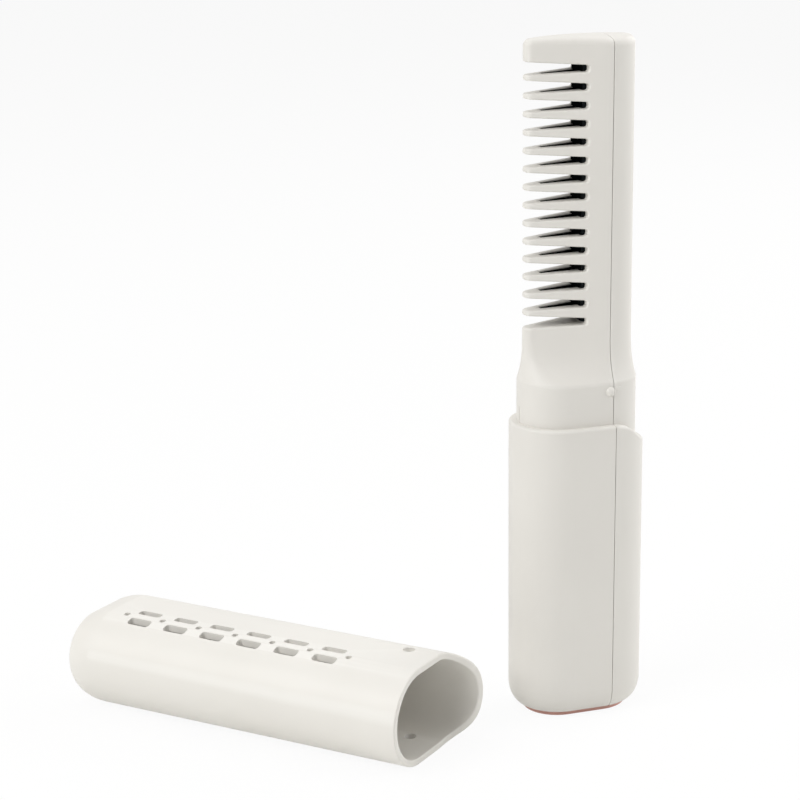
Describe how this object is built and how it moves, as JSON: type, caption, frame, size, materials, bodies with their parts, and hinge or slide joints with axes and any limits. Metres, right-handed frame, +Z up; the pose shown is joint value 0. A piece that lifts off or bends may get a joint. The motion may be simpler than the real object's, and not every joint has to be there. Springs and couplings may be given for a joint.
{
  "type": "hot comb",
  "caption": "Cordless heated styling comb that stands on its base, with a ventilated protective cap lying beside it and a power button on the spine.",
  "frame": {"origin": "centre of the comb's base, on the surface it stands on", "axes": "+Z up the handle, -X the way the teeth point, +X the spine with the power button; the cap lies on the -X side"},
  "size_m": [0.1702, 0.1136, 0.2084],
  "materials": {
    "abs_shell": "fine matt moulded ABS, warm off-white",
    "abs_cap": "fine matt moulded ABS, warm off-white",
    "abs_base": "matt moulded ABS, dusty rose",
    "abs_inner": "plain moulded ABS, black",
    "abs_button": "matt moulded ABS, warm off-white",
    "zinc_screw": "zinc-plated steel",
    "cell_can": "shrink-sleeved cell can",
    "nickel_tab": "nickel strip",
    "foam_pad": "closed-cell foam",
    "circuit_board": "glass-epoxy board with green solder mask",
    "chip_case": "moulded epoxy",
    "lamp_red": "clear epoxy lamp",
    "switch_case": "moulded nylon",
    "clear_ring": "diffusing polycarbonate, glows red",
    "socket_steel": "drawn stainless steel",
    "anodised_aluminium": "black hard-anodised",
    "heater_ceramic": "fired barium titanate ceramic",
    "contact_sheet": "rolled steel sheet",
    "polyimide_film": "amber polyimide film",
    "spring_steel": "rolled spring steel",
    "pps_frame": "glass-filled PPS",
    "glass_bead": "glass-sealed thermistor bead",
    "fuse_can": "drawn metal can",
    "silicone_wire": "silicone insulation"
  },
  "bodies": {
    "comb": {"front_shell": "abs_shell", "back_shell": "abs_shell", "base_cap": "abs_base", "base_screws": "zinc_screw", "board_screws": "zinc_screw", "heater_screws": "zinc_screw", "battery_holder": "abs_inner", "battery_cell": "cell_can", "battery_tabs": "nickel_tab", "battery_pad": "foam_pad", "main_board": "circuit_board", "board_parts": "chip_case", "status_leds": "lamp_red", "tact_switch": "switch_case", "light_ring": "clear_ring", "charge_port": "socket_steel", "heating_comb": "anodised_aluminium", "ptc_blocks": "heater_ceramic", "front_electrode": "contact_sheet", "back_electrode": "contact_sheet", "insulating_film": "polyimide_film", "clamp_strip": "spring_steel", "heater_carrier": "pps_frame", "temperature_sensor": "glass_bead", "thermal_fuse": "fuse_can", "heater_wires": "silicone_wire"},
    "power_button": {"power_button": "abs_button", "switch_plunger": "switch_case"},
    "cap": {"cap": "abs_cap"}
  },
  "joints": [
    {"name": "button_press", "type": "slide", "parent": "comb", "child": "power_button", "axis": [-1, 0, 0], "range_m": [0, 0.0006], "stiffness_N_per_m": 2000},
    {"name": "cap_slide", "type": "slide", "parent": "comb", "child": "cap", "axis": [-0.6691, 0.7431, 0], "range_m": [0, 0.12]}
  ]
}
